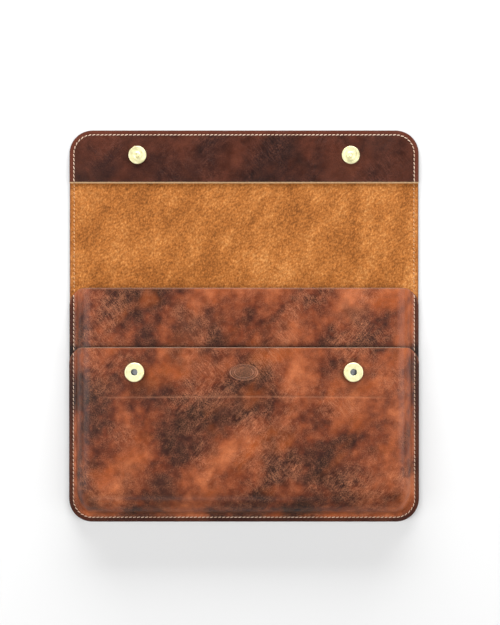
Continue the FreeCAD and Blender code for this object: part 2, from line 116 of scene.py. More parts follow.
# Marks on the pocket, and the snaps' centres.
STAMP_HALF = (14.0, 8.0)
STAMP_DEPTH = 0.7
CREASE_DEPTH, CREASE_HALF_WIDTH = 0.2, 0.9
SOCKET_RADIUS = 3.3
STUD_RADIUS = 2.7

# The middle of the painted shade, where the leather is painted darkest, in metres.
SHADE_CENTRE = (0.045, -0.125, 0.0)


# Meshes ---------------------------------------------------------------------------------------

# Grid steps grow from FINE, within FINE_REACH of an edge, to COARSE.
FINE, FINE_REACH, GROWTH, COARSE = 0.4, 7.0, 1.22, 3.2
FOLD_STEP, CREASE_STEP, STAMP_STEP = 0.7, 0.5, 0.36


def steps_from_edge(reach):
    """Distances from an edge: close together across the seam, then wider and wider."""
    places, step = [0.0, 0.1], FINE
    while places[-1] + step < reach:
        places.append(places[-1] + step)
        if places[-1] > FINE_REACH:
            step = min(step * GROWTH, COARSE)
    return places


def graded(low, high, fine_low=True, fine_high=True, dense=()):
    """Places from low to high, close together at a fine end and in each dense stretch
    (from, to, step)."""
    middle = (low + high) / 2
    if fine_low and fine_high:
        places = [low + p for p in steps_from_edge(middle - low)] + [middle]
        places += [high - p for p in steps_from_edge(high - middle)]
    elif fine_low:
        places = [low + p for p in steps_from_edge(high - low)] + [high]
    elif fine_high:
        places = [high - p for p in steps_from_edge(high - low)] + [low]
    else:
        places = list(np.linspace(low, high, max(2, round((high - low) / COARSE))))
    for start, end, step in dense:
        places = [p for p in places if not start < p < end]
        places += list(np.linspace(start, end, round((end - start) / step) + 1))
    places = sorted(places)
    kept = [places[0]]
    for place in places[1:]:
        if place - kept[-1] > 0.05:
            kept.append(place)
    kept[-1] = places[-1]
    return np.array(kept)


def corner_loss(away, radius):
    """How far a round corner's edge lies inside the straight one, away from the end."""
    inside = np.clip(radius - away, 0, radius)
    return radius - np.sqrt(radius ** 2 - inside ** 2)


def rim_distance(x, y, low, high, low_radius, high_radius):
    """Distance inside an outline with round corners. An end with no radius isn't an edge."""
    side = HALF_WIDTH - np.abs(x)
    away = side
    for end, radius in ((y - low, low_radius), (high - y, high_radius)):
        if not radius:
            continue
        corner = (side < radius) & (end < radius)
        round_part = radius - np.hypot(radius - side, radius - end)
        away = np.where(corner, round_part, np.minimum(away, end))
    return away


def smooth(value, low, high):
    """0 below low, 1 above high and an even curve between."""
    part = np.clip((value - low) / (high - low), 0, 1)
    return part * part * (3 - 2 * part)


def seam_dip(edge, depth, flat, reach):
    """How deep the thread has drawn the leather in: depth within flat of it, 0 beyond reach."""
    return depth * (1 - smooth(np.abs(edge - SEAM_INSET), flat, reach))


def from_snap(x, y, snap_y):
    """Distance from the nearer one of a left and right pair of snaps."""
    return np.hypot(np.abs(x) - SNAP_X, y - snap_y)


def waves(x, y, size, seed):
    """Gentle noise of about that size across, from -1 to 1."""
    flat = [noise.noise(Vector((a / size, b / size, seed))) for a, b in zip(x.flat, y.flat)]
    return np.array(flat).reshape(x.shape)


def layout_grid(rows, columns, low_radius, high_radius, inset):
    """X and Y of a grid that fills an outline with round corners, inset from its edge."""
    low, high = rows[0], rows[-1]
    half = np.full(len(rows), HALF_WIDTH - inset)
    if low_radius:
        half -= corner_loss(rows - low, low_radius - inset)
    if high_radius:
        half -= corner_loss(high - rows, high_radius - inset)
    across = columns / HALF_WIDTH
    return half[:, None] * across[None, :], np.repeat(rows[:, None], len(columns), 1)


def make_object(name, vertices, faces, material_index, materials, edge, mouth, pressed):
    """A smooth mesh in metres. For the materials it keeps each point's rest place, its
    distances in millimetres from the outline and the mouth, and how far it is stamped, or
    below 0 how deep the painted shade is."""
    mesh = bpy.data.meshes.new(name)
    mesh.from_pydata((vertices * MM).tolist(), [], faces)
    mesh.polygons.foreach_set("material_index", np.array(material_index, np.int32))
    for material in materials:
        mesh.materials.append(material)
    mesh.attributes.new("rest_place", "FLOAT_VECTOR", "POINT").data.foreach_set(
        "vector", (vertices * MM).astype(np.float32).ravel())
    for label, numbers in (("from_edge", edge), ("from_mouth", mouth), ("pressed", pressed)):
        mesh.attributes.new(label, "FLOAT", "POINT").data.foreach_set(
            "value", np.asarray(numbers, np.float32))
    mesh.update()
    mesh.shade_smooth()
    mesh.set_sharp_from_angle(angle=math.radians(62))
    piece = bpy.data.objects.new(name, mesh)
    bpy.context.scene.collection.objects.link(piece)
    return piece


# A distance that no material reacts to, and a rim's rounded section as rows of the share of the
# inset outward and the share of the thickness down.
FAR = 99.0
RIM = ((0.55, 0.10), (0.88, 0.26), (1.0, 0.5), (0.88, 0.74), (0.55, 0.90))
TURNED_SIDES = 96


def rim_directions(loop, plan, columns, flush_rows):
    """Which way a rim faces at each point of its loop. On a flush row it doesn't bulge, except
    sideways at the row's two ends."""
    tangent = np.roll(plan, -1, 0) - np.roll(plan, 1, 0)
    out = np.stack([tangent[:, 1], -tangent[:, 0]], 1)
    out /= np.linalg.norm(out, axis=1, keepdims=True)
    for row in flush_rows:
        on_row = loop // columns == row
        out[on_row] = 0
        ends = on_row & np.isin(loop % columns, (0, columns - 1))
        out[ends, 0] = np.sign(plan[ends, 0])
    return np.column_stack([out, np.zeros(len(out))])


def leather_piece(name, top, bottom, materials, inset, edge, mouth=None, pressed=None,
                  flush_low=False, flush_high=False, mouth_from=None):
    """A closed piece of leather from two grids of points. Its rim is rounded by the inset,
    except at a flush end, where it meets the next piece. The materials are those of the top,
    the underside, the burnished rim and the raw rim, which is the rim above mouth_from."""
    rows, columns = top.shape[:2]
    index = np.arange(rows * columns).reshape(rows, columns)
    loop = np.concatenate([index[0, :], index[1:, -1], index[-1, -2::-1], index[-2:0:-1, 0]])
    flat_top, flat_bottom = top.reshape(-1, 3), bottom.reshape(-1, 3)
    plan = flat_top[loop][:, :2]
    flush_rows = [row for flush, row in ((flush_low, 0), (flush_high, rows - 1)) if flush]
    out = rim_directions(loop, plan, columns, flush_rows)
    rings = [flat_top[loop] * (1 - share) + flat_bottom[loop] * share + out * inset * reach
             for reach, share in RIM]
    vertices = np.concatenate([flat_top, flat_bottom, *rings])
    count, around = rows * columns, len(loop)
    faces, kinds = [], []
    a, b = index[:-1, :-1].ravel(), index[:-1, 1:].ravel()
    c, d = index[1:, 1:].ravel(), index[1:, :-1].ravel()
    faces += np.column_stack([a, b, c, d]).tolist()
    faces += (np.column_stack([d, c, b, a]) + count).tolist()
    kinds += [0] * len(a) + [1] * len(a)
    bands = [loop] + [2 * count + n * around + np.arange(around) for n in range(len(RIM))]
    bands.append(loop + count)
    raw = np.zeros(around, bool) if mouth_from is None else plan[:, 1] > mouth_from
    for band, (upper, lower) in enumerate(zip(bands, bands[1:])):
        following_upper, following_lower = np.roll(upper, -1), np.roll(lower, -1)
        quads = np.column_stack([upper, lower, following_lower, following_upper])
        faces += quads.tolist()
        inner = 1 < band < len(RIM)
        kinds += np.where(raw & np.roll(raw, -1) & inner, 3, 2).tolist()
    edge_all = np.concatenate([edge.ravel(), edge.ravel()] + [np.zeros(around)] * len(RIM))
    mouth_flat = np.full(count, FAR) if mouth is None else mouth.ravel()
    mouth_all = np.concatenate([mouth_flat, mouth_flat] + [mouth_flat[loop]] * len(RIM))
    pressed_all = np.zeros(len(vertices))
    if pressed is not None:
        pressed_all[:count] = pressed.ravel()
    return make_object(name, vertices, faces, kinds, materials, edge_all, mouth_all, pressed_all)


def turned_piece(name, x, y, z, profile, material):
    """A round piece about the upright line through x and y, from (radius, height) rows that
    start and end on that line or make a closed ring."""
    turns = np.arange(TURNED_SIDES) * 2 * math.pi / TURNED_SIDES
    vertices = np.concatenate([
        np.column_stack([x + radius * np.cos(turns), y + radius * np.sin(turns),
                         np.full(TURNED_SIDES, z + height)])
        for radius, height in profile])
    closed = profile[0][0] > 0
    faces = []
    for row in range(len(profile) if closed else len(profile) - 1):
        upper, lower = row * TURNED_SIDES, (row + 1) % len(profile) * TURNED_SIDES
        for n in range(TURNED_SIDES):
            m = (n + 1) % TURNED_SIDES
            faces.append((upper + n, lower + n, lower + m, upper + m))
    far = np.full(len(vertices), FAR)
    piece = make_object(name, vertices, faces, [0] * len(faces), [material], far, far, far * 0)
    merge_axis_points(piece)
    return piece


def merge_axis_points(piece):
    """Joins the points that meet on a turned piece's axis and drops faces of no size."""
    work = bmesh.new()
    work.from_mesh(piece.data)
    bmesh.ops.remove_doubles(work, verts=work.verts, dist=1e-7)
    bmesh.ops.recalc_face_normals(work, faces=work.faces)
    work.to_mesh(piece.data)
    work.free()
    piece.data.set_sharp_from_angle(angle=math.radians(40))


# Materials ------------------------------------------------------------------------------------

def srgb(code):
    """A hex colour as the linear numbers that a shader reads."""
    channels = [int(code[n:n + 2], 16) / 255 for n in (0, 2, 4)]
    linear = [c / 12.92 if c <= 0.04045 else ((c + 0.055) / 1.055) ** 2.4 for c in channels]
    return (*linear, 1.0)


class Shader:
    """A node tree with one principled surface, and short calls that add to it."""

    def __init__(self, name, **sockets):
        self.material = bpy.data.materials.new(name)
        self.material.use_nodes = True
        self.tree = self.material.node_tree
        self.surface = self.tree.nodes["Principled BSDF"]
        for socket, number in sockets.items():
            self.surface.inputs[socket.replace("_", " ")].default_value = number

    def node(self, kind, inputs=(), **settings):
        """Adds a node with its settings. An input is a number or another node's output."""
        made = self.tree.nodes.new(kind)
        for key, setting in settings.items():
            setattr(made, key, setting)
        for socket, source in dict(inputs).items():
            if isinstance(source, bpy.types.NodeSocket):
                self.tree.links.new(source, made.inputs[socket])
            else:
                made.inputs[socket].default_value = source
        return made

    def rest(self):
        """Each point's place when the sleeve lies open, so that nothing swims when it bends."""
        return self.node("ShaderNodeAttribute", attribute_name="rest_place").outputs["Vector"]

    def own_place(self):
        """Object coordinates, for the CAD nodes, which hold no rest place."""
        return self.node("ShaderNodeTexCoord").outputs["Object"]

    def distance(self, label):
        """One of the distances that make_object keeps at each point."""
        return self.node("ShaderNodeAttribute", attribute_name=label).outputs["Fac"]

    def place(self, offset=(0, 0, 0), turn=0.0, stretch=(1, 1, 1)):
        """The rest place, moved and turned, then stretched."""
        turned = self.node("ShaderNodeMapping", {
            "Vector": self.rest(), "Location": offset, "Rotation": (0, 0, turn)})
        return self.node("ShaderNodeMapping", {
            "Vector": turned.outputs["Vector"], "Scale": stretch}).outputs["Vector"]

    def cloud(self, place, scale, detail=3.0, rough=0.55, twist=0.0):
        """Cloudy noise, mostly between 0.3 and 0.7."""
        return self.node("ShaderNodeTexNoise", {
            "Vector": place, "Scale": scale, "Detail": detail, "Roughness": rough,
            "Distortion": twist}).outputs["Fac"]

    def cells(self, place, scale):
        """Distance from the borders between irregular cells."""
        return self.node("ShaderNodeTexVoronoi", {"Vector": place, "Scale": scale},
                         feature="DISTANCE_TO_EDGE").outputs["Distance"]

    def math(self, operation, first, second=0.0, clamp=False):
        return self.node("ShaderNodeMath", {0: first, 1: second}, operation=operation,
                         use_clamp=clamp).outputs[0]

    def span(self, source, low, high, to_low=0.0, to_high=1.0):
        """Goes smoothly from to_low at low to to_high at high."""
        return self.node("ShaderNodeMapRange", {
            "Value": source, "From Min": low, "From Max": high, "To Min": to_low,
            "To Max": to_high}, interpolation_type="SMOOTHSTEP").outputs["Result"]

    def mix(self, share, first, second, blend="MIX"):
        """Two colours, with this share of the second."""
        made = self.node("ShaderNodeMix", {0: share, 6: first, 7: second}, data_type="RGBA",
                         blend_type=blend)
        return made.outputs[2]

    def ramp(self, source, stops):
        """A colour for each level of the source, from (level, hex colour) stops."""
        made = self.node("ShaderNodeValToRGB", {"Fac": source})
        band = made.color_ramp
        while len(band.elements) < len(stops):
            band.elements.new(0.5)
        for element, (position, colour) in zip(band.elements, stops):
            element.position = position
            element.color = srgb(colour)
        return made.outputs["Color"]

    def bump(self, height, depth, strength=1.0, under=None):
        """A normal from a height, over the relief of the bump under it."""
        inputs = {"Height": height, "Distance": depth, "Strength": strength}
        if under is not None:
            inputs["Normal"] = under
        return self.node("ShaderNodeBump", inputs).outputs["Normal"]

    def finish(self, colour=None, roughness=None, normal=None):
        """Links the results to the surface and gives the material."""
        for socket, source in (("Base Color", colour), ("Roughness", roughness),
                               ("Normal", normal)):
            if source is not None:
                self.tree.links.new(source, self.surface.inputs[socket])
        return self.material


# The two ways that the grain leans, in radians.
LEAN_LEFT, LEAN_RIGHT = 0.7, -0.65


def pebbles(shader, turn, offset, scale):
    """Distance from the furrows of a fine grain that is drawn out one way."""
    warped = shader.node("ShaderNodeVectorMath", {
        0: shader.node("ShaderNodeTexNoise", {
            "Vector": shader.rest(), "Scale": 420.0, "Detail": 3.0}).outputs["Color"],
        1: (0.0016, 0.0016, 0.0016), 2: shader.place(offset, turn)}, operation="MULTIPLY_ADD")
    drawn = shader.node("ShaderNodeMapping", {
        "Vector": warped.outputs[0], "Scale": (1.0, 0.55, 1.0)}).outputs["Vector"]
    return shader.cells(drawn, scale)


def creases(shader, turn, offset, scale):
    """Long soft creases that run one way."""
    drawn = shader.place(offset, turn, (1.0, 0.16, 1.0))
    wander = shader.cloud(drawn, scale, 2.0, 0.5, 0.35)
    return shader.span(shader.math("ABSOLUTE", shader.math("SUBTRACT", wander, 0.5)),
                       0.0, 0.05, 1.0, 0.0)


def patches(shader, place, scale, low, high):
    """Soft patches of another tone: 1 in them and 0 between."""
    return shader.span(shader.cloud(place, scale, 3.0, 0.5, 0.2), low, high)


def leather_tone(shader, fine):
    """Cloudy light and dark, with painted shade darkest about one place low on the front and
    painted light a little lighter away from it.
    """
    drawn = shader.place((0.31, 0.12, 0.0), 0.6, (1.0, 0.62, 1.0))
    broad = shader.cloud(drawn, 23.0, 3.0, 0.48, 0.25)
    # Painted shade and light: the distance from the place where the painted shade is darkest.
    shade_distance = shader.node("ShaderNodeVectorMath", {
        0: shader.rest(), 1: SHADE_CENTRE}, operation="DISTANCE").outputs["Value"]
    tone = shader.math("ADD", shader.math("MULTIPLY", broad, 0.8),
                       shader.math("MULTIPLY", fine, 0.2))
    return shader.math("ADD", tone, shader.span(shade_distance, 0.03, 0.16, -0.045, 0.03))


def leather_grain(shader):
    """The grain, which leans one way or the other by region: distance from its furrows, the
    furrows themselves and the long creases where the leather has been stretched."""
    lean = shader.span(shader.cloud(shader.place((0.5, 1.7, 0.3)), 16.0, 1.0), 0.46, 0.54)
    cells = shader.node("ShaderNodeMix", {
        0: lean, 2: pebbles(shader, LEAN_LEFT, (0.4, 0.3, 0), 880.0),
        3: pebbles(shader, LEAN_RIGHT, (1.4, 0.1, 0), 820.0)}).outputs[0]
    uneven = shader.span(shader.cloud(shader.place((0.6, 0.8, 0.4)), 150.0, 2.0), 0.3, 0.62)
    furrows = shader.math("MULTIPLY", shader.span(cells, 0.0, 0.16, 1.0, 0.0), uneven)
    long_lines = shader.node("ShaderNodeMix", {
        0: lean, 2: creases(shader, LEAN_LEFT, (0.2, 0.6, 0), 330.0),
        3: creases(shader, LEAN_RIGHT, (1.1, 0.3, 0), 300.0)}).outputs[0]
    stretched = shader.span(shader.cloud(shader.place((0.8, 0.5, 0.9)), 22.0, 2.0), 0.4, 0.68)
    return cells, furrows, long_lines, stretched


def leather_wear_and_shade(shader, colour, glow, seam_dark, seam_tint):
    """Dark burnish along the seam, a lighter lip at the mouth, lighter pressed lines and painted
    shade.
    """
    rim = shader.span(shader.distance("from_edge"), SEAM_INSET - 1.0, SEAM_INSET + 0.8, 1.0, 0.0)
    colour = shader.mix(shader.math("MULTIPLY", rim, seam_dark), colour, srgb(seam_tint))
    lip = shader.span(shader.distance("from_mouth"), 0.3, 2.4, 0.22, 0.0)
    colour = shader.mix(lip, colour, srgb(glow))
    pressed = shader.distance("pressed")
    lines = shader.math("MULTIPLY", pressed, 0.6, clamp=True)
    colour = shader.mix(lines, colour, srgb("D0916F"))
    # Painted shade: where the pressed attribute is below 0, the colour is darkened towards near
    # black.
    painted_shade = shader.math("MULTIPLY", pressed, -0.85, clamp=True)
    return shader.mix(painted_shade, colour, srgb("140A07"))


def pull_up_leather(name, stops, bright, dark, glow, seam_dark=0.85, seam_tint="2F120A"):
    """Waxed leather with cloudy patches, drawn-out grain and creases that show lighter."""
    shader = Shader(name, IOR=1.45, Sheen_Weight=0.02, Sheen_Roughness=0.4,
                    Coat_Weight=0.14, Coat_Roughness=0.26, Specular_IOR_Level=0.18)
    shader.surface.inputs["Sheen Tint"].default_value = srgb("E8B49A")
    fine = shader.cloud(shader.place((0.7, 0.2, 0.1)), 110.0, 4.0, 0.55)
    pores = shader.cloud(shader.rest(), 1700.0, 3.0, 0.65)
    cells, furrows, long_lines, stretched = leather_grain(shader)

    colour = shader.ramp(leather_tone(shader, fine), stops)
    warm = patches(shader, shader.place((1.3, 0.4, 0.2), 0.8, (1.0, 0.6, 1.0)), 27.0, 0.5, 0.74)
    colour = shader.mix(shader.math("MULTIPLY", warm, 0.7), colour, srgb(bright))
    cool = patches(shader, shader.place((2.1, 0.9, 0.5), -0.5, (1.0, 0.7, 1.0)), 24.0, 0.52, 0.74)
    colour = shader.mix(shader.math("MULTIPLY", cool, 0.75), colour, srgb(dark))
    drawn_out = shader.math("MULTIPLY", shader.math("ADD", furrows, long_lines), stretched)
    lifted = shader.math("ADD", shader.math("MULTIPLY", furrows, 0.24),
                         shader.math("MULTIPLY", drawn_out, 0.26), clamp=True)
    colour = shader.mix(lifted, colour, srgb(glow))
    shade = shader.math("MULTIPLY", shader.span(pores, 0.28, 0.72, 0.80, 1.18),
                        shader.span(fine, 0.3, 0.7, 0.92, 1.08))
    colour = shader.mix(1.0, colour, shade, "MULTIPLY")
    colour = leather_wear_and_shade(shader, colour, glow, seam_dark, seam_tint)

    roughness = shader.math("ADD", shader.span(fine, 0.3, 0.7, 0.38, 0.49),
                            shader.math("MULTIPLY", furrows, 0.16))
    normal = shader.bump(shader.cloud(shader.rest(), 60.0, 3.0), 0.0016, 0.35)
    normal = shader.bump(shader.span(cells, 0.0, 0.45), 0.00014, 0.7, normal)
    normal = shader.bump(pores, 0.0001, 0.5, normal)
    normal = shader.bump(shader.math("MULTIPLY", long_lines, stretched), 0.0004, 0.5, normal)
    return shader.finish(colour, roughness, normal)


def suede(name, stops):
    """Flesh side: short nap, brushed patches and a soft bloom at grazing angles."""
    shader = Shader(name, IOR=1.4, Sheen_Weight=0.35, Sheen_Roughness=0.6, Roughness=0.93)
    shader.surface.inputs["Sheen Tint"].default_value = srgb("F0B478")
    shader.surface.inputs["Specular IOR Level"].default_value = 0.2
    brushed = shader.cloud(shader.place((0.2, 0.5, 0), 0.4, (1.0, 0.5, 1.0)), 34.0, 4.0, 0.6, 0.3)
    nap = shader.cloud(shader.place((0.9, 0.1, 0), 0.3, (1.0, 0.7, 1.0)), 620.0, 4.0, 0.7)
    tone = shader.math("ADD", shader.math("MULTIPLY", brushed, 0.4),
                       shader.math("MULTIPLY", nap, 0.6))
    colour = shader.ramp(tone, stops)
    fibres = shader.cloud(shader.place((0.3, 0.3, 0), 1.1, (1.0, 0.35, 1.0)), 420.0, 3.0, 0.6)
    colour = shader.mix(1.0, colour, shader.span(fibres, 0.3, 0.7, 0.8, 1.16), "MULTIPLY")
    rim = shader.span(shader.distance("from_edge"), 0.5, 3.0, 0.5, 0.0)
    colour = shader.mix(rim, colour, srgb("7A4418"))
    normal = shader.bump(brushed, 0.0008, 0.25)
    normal = shader.bump(nap, 0.00035, 0.6, normal)
    return shader.finish(colour, None, normal)


def cut_edge(name, stops, rough, layers):
    """A cut leather edge: fine layers of fibre along it, burnished or raw."""
    shader = Shader(name, IOR=1.46, Coat_Weight=0.1, Coat_Roughness=0.3)
    fibres = shader.cloud(shader.place((0.4, 0.1, 0), 0.0, (1.0, 1.0, 9.0)), layers, 4.0, 0.6)
    colour = shader.ramp(fibres, stops)
    roughness = shader.span(fibres, 0.3, 0.7, rough - 0.08, rough + 0.12)
    normal = shader.bump(fibres, 0.00025, 0.5)
    return shader.finish(colour, roughness, normal)


def waxed_thread(name, stops, soil):
    """Waxed thread with fine fibres and soiled stretches."""
    shader = Shader(name, IOR=1.5, Sheen_Weight=0.15, Sheen_Roughness=0.5)
    fibres = shader.cloud(shader.rest(), 2600.0, 3.0, 0.6)
    soiling = shader.cloud(shader.rest(), 45.0, 3.0, 0.6)
    colour = shader.ramp(fibres, stops)
    colour = shader.mix(shader.span(soiling, 0.42, 0.7, 0.0, 0.55), colour, srgb(soil))
    roughness = shader.span(fibres, 0.3, 0.7, 0.5, 0.7)
    return shader.finish(colour, roughness, shader.bump(fibres, 0.0001, 0.7))


def brushed_metal(name, stops, rough, metallic=1.0):
    """Plated metal with fine handling marks."""
    shader = Shader(name, Metallic=metallic)
    smudge = shader.cloud(shader.own_place(), 260.0, 4.0, 0.6)
    marks = shader.cloud(shader.own_place(), 3200.0, 3.0, 0.6)
    colour = shader.ramp(smudge, stops)
    roughness = shader.math("ADD", shader.span(smudge, 0.3, 0.7, rough - 0.06, rough + 0.1),
                            shader.span(marks, 0.3, 0.7, 0.0, 0.08))
    return shader.finish(colour, roughness, shader.bump(marks, 0.00003, 0.5))



LEATHER_STOPS = [(0.35, "1F0E08"), (0.43, "3E1B10"), (0.5, "662E18"), (0.57, "874324"),
                 (0.66, "AC5F38")]
DARK_STOPS = [(0.34, "160805"), (0.44, "280F08"), (0.52, "3A180B"), (0.6, "4A2112"),
              (0.7, "5C2E1A")]
SUEDE_STOPS = [(0.36, "683812"), (0.46, "8E5220"), (0.54, "A9672F"), (0.64, "C6884C")]

grain = pull_up_leather("grain_leather", LEATHER_STOPS, "A4501F", "2C1B16", "C27C58")
facing_grain = pull_up_leather("facing_leather", DARK_STOPS, "522818", "1C0E0A", "6A3A2A",
                               seam_dark=0.6, seam_tint="643020")
flesh = suede("flesh_suede", SUEDE_STOPS)
burnished = cut_edge("burnished_edge", [(0.3, "24120C"), (0.5, "3C1F15"), (0.7, "522C1E")],
                     0.5, 300.0)
raw_edge = cut_edge("raw_edge", [(0.3, "A07A50"), (0.5, "C8A47A"), (0.7, "E0C89E")], 0.7, 420.0)
thread = waxed_thread("thread_cream", [(0.3, "C7A489"), (0.5, "E6C8AE"), (0.7, "F1DCC6")], "B48662")
tan_thread = waxed_thread("thread_in_suede", [(0.3, "A87040"), (0.5, "CC9A68"), (0.7, "DDB488")],
                          "96602E")
brass = brushed_metal("pale_brass", [(0.3, "F0E8AE"), (0.5, "F6F0BE"), (0.7, "FAF6CE")], 0.45,
                      metallic=0.8)
steel = brushed_metal("zinc_steel", [(0.3, "8A8C8E"), (0.5, "A6A8AA"), (0.7, "BCBEC0")], 0.34)
dark_magnet = brushed_metal("dark_magnet", [(0.3, "45464A"), (0.5, "5C5E62"), (0.7, "707276")], 0.3)


# The hide: back, fold and flap ----------------------------------------------------------------

def hide_piece(name, low, high, fold):
    """A stretch of the hide, with suede above, grain below and a thread groove in the grain.
    Its grid is dense over fold, a (from, to, step) stretch."""
    inset = RIM_ROUNDING
    low_radius = CORNER_RADIUS if low == BOTTOM_Y else 0
    high_radius = CORNER_RADIUS if high == TOP_Y else 0
    first = low + (inset if low_radius else 0)
    last = high - (inset if high_radius else 0)
    rows = graded(first, last, bool(low_radius), bool(high_radius), [fold])
    columns = graded(-HALF_WIDTH, HALF_WIDTH)
    x, y = layout_grid(rows, columns, low_radius, high_radius, inset)
    edge = rim_distance(x, y, BOTTOM_Y, TOP_Y, CORNER_RADIUS, CORNER_RADIUS)
    groove = seam_dip(edge, GROOVE_DEPTH, 0.35, 0.85)
    pressed = seam_dip(edge, 0.22, 0.3, 1.1)
    top = np.stack([x, y, HIDE - pressed * (y > MOUTH_Y)], 2)
    bottom = np.stack([x, y, groove], 2)
    return leather_piece(name, top, bottom, [flesh, grain, burnished], inset, edge,
                         flush_low=not low_radius, flush_high=not high_radius)


def bend(piece):
    """Bakes a piece's transform into its mesh."""
    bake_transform(piece)


ZONE_LOW = FOLD_LINES[0] - STRIP_WIDTH / 2
ZONE_HIGH = FOLD_LINES[2] + STRIP_WIDTH / 2
BENDS = (("sleeve", "fold_a"), ("fold_a", "fold_b"), ("fold_b", "flap"))

hide_back = hide_piece("hide_back", BOTTOM_Y, SPLIT_LOW, (ZONE_LOW, SPLIT_LOW, FOLD_STEP))
hide_fold = hide_piece("hide_fold", SPLIT_LOW, SPLIT_HIGH, (SPLIT_LOW, SPLIT_HIGH, FOLD_STEP))
hide_flap = hide_piece("hide_flap", SPLIT_HIGH, TOP_Y, (SPLIT_HIGH, ZONE_HIGH, FOLD_STEP))
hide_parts("back_panel", "fold_strip_a")
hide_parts("fold_strip_b")
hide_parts("flap_panel")
for piece, (parent, child), fold_line in zip((hide_back, hide_fold, hide_flap), BENDS, FOLD_LINES):
    bend(piece)


# The facing -----------------------------------------------------------------------------------

def make_facing():
    """The strip inside the flap's tip, bevelled to a thin pale edge on its free side."""
    inset = FACING_ROUNDING
    rows = graded(FACING_Y, TOP_Y - inset)
    columns = graded(-HALF_WIDTH, HALF_WIDTH)
    x, y = layout_grid(rows, columns, 0, CORNER_RADIUS, inset)
    edge = rim_distance(x, y, BOTTOM_Y, TOP_Y, CORNER_RADIUS, CORNER_RADIUS)
    from_skive = y - FACING_Y
    bevel = SKIVE * np.clip(1 - from_skive / SKIVE, 0, 1)
    pressed = seam_dip(edge, 0.28, 0.3, 1.2) * (from_skive > SKIVE)
    relief = 0.12 * waves(x, y, 38, 4.0) * smooth(edge, 8, 20) * smooth(from_skive, 3, 12)
    relief = relief * smooth(from_snap(x, y, FLAP_SNAP_Y), 10, 20)
    top = np.stack([x, y, FACING_Z - bevel - pressed + relief - 0.12], 2)
    bottom = np.stack([x, y, np.full(x.shape, HIDE)], 2)
    piece = leather_piece("facing", top, bottom, [facing_grain, flesh, burnished], inset, edge,
                          flush_low=True)
    colour_skive(piece)
    return piece


def colour_skive(piece):
    """Gives the bevel along the facing's lower edge the colour of cut leather."""
    mesh = piece.data
    mesh.materials.append(raw_edge)
    for face in mesh.polygons:
        if face.center.y < (FACING_Y + SKIVE) * MM and face.material_index != 1:
            face.material_index = 3


facing = make_facing()
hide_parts("flap_facing")
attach(facing, "flap")


# The two moulded panels -----------------------------------------------------------------------

def swell(x, y):
    """How far a panel has risen from its seam to its crown, from 0 to 1."""
    side = np.clip(1 - (HALF_WIDTH - np.abs(x) - SEAM_FLANGE) / SIDE_RAMP, 0, None)
    low = np.clip(1 - (y - BOTTOM_Y - SEAM_FLANGE) / BOTTOM_RAMP, 0, None)
    rise = 1 - np.clip(np.hypot(side, low), 0, 1)
    return (1 - (1 - rise) ** 2.3) * smooth(rise, -0.05, 0.22)


def panel_normals(x, y, rise):
    """Unit normals of a panel's smooth shape, upward."""
    step = 0.25
    across = rise * (swell(x + step, y) - swell(x - step, y)) / (2 * step)
    along = rise * (swell(x, y + step) - swell(x, y - step)) / (2 * step)
    normal = np.stack([-across, -along, np.ones(x.shape)], 2)
    return normal / np.linalg.norm(normal, axis=2, keepdims=True)


def stamp(x, y):
    """A blank oval stamp: a pressed line, a ring of beads and a slightly sunken field."""
    long, short = STAMP_HALF
    across = np.hypot(x / long, (y - FRONT_SNAP_Y) / short)
    turn = np.arctan2((y - FRONT_SNAP_Y) / short, x / long)
    line = 1 - smooth(np.abs(across - 0.97), 0.02, 0.055)
    beads = (1 - smooth(np.abs(across - 0.82), 0.0, 0.09)) * (0.5 + 0.5 * np.cos(turn * 34))
    inner = 1 - smooth(np.abs(across - 0.66), 0.015, 0.05)
    field = 1 - smooth(across, 0.60, 0.68)
    return STAMP_DEPTH * np.maximum.reduce([line, 0.8 * beads, 0.75 * inner, 0.2 * field])


def mouth_distance(x, y, mouth_y):
    """Distance inside a panel's free mouth with round corners, and FAR below the corners."""
    beyond_x = np.clip(np.abs(x) - (HALF_WIDTH - MOUTH_RADIUS), 0, None)
    beyond_y = np.clip(y - (mouth_y - MOUTH_RADIUS), 0, None)
    inside = np.minimum(mouth_y - y, MOUTH_RADIUS - np.hypot(beyond_x, beyond_y))
    return np.where(y > mouth_y - MOUTH_RADIUS, inside, FAR)


def around_cap(x, y):
    """The pocket's height about a cap, which sits on a pad with a soft moat round it."""
    away = from_snap(x, y, FRONT_SNAP_Y)
    return 0.3 * (1 - smooth(away, 9.0, 13.0)) - 0.22 * np.exp(-((away - 11.5) / 2.2) ** 2)


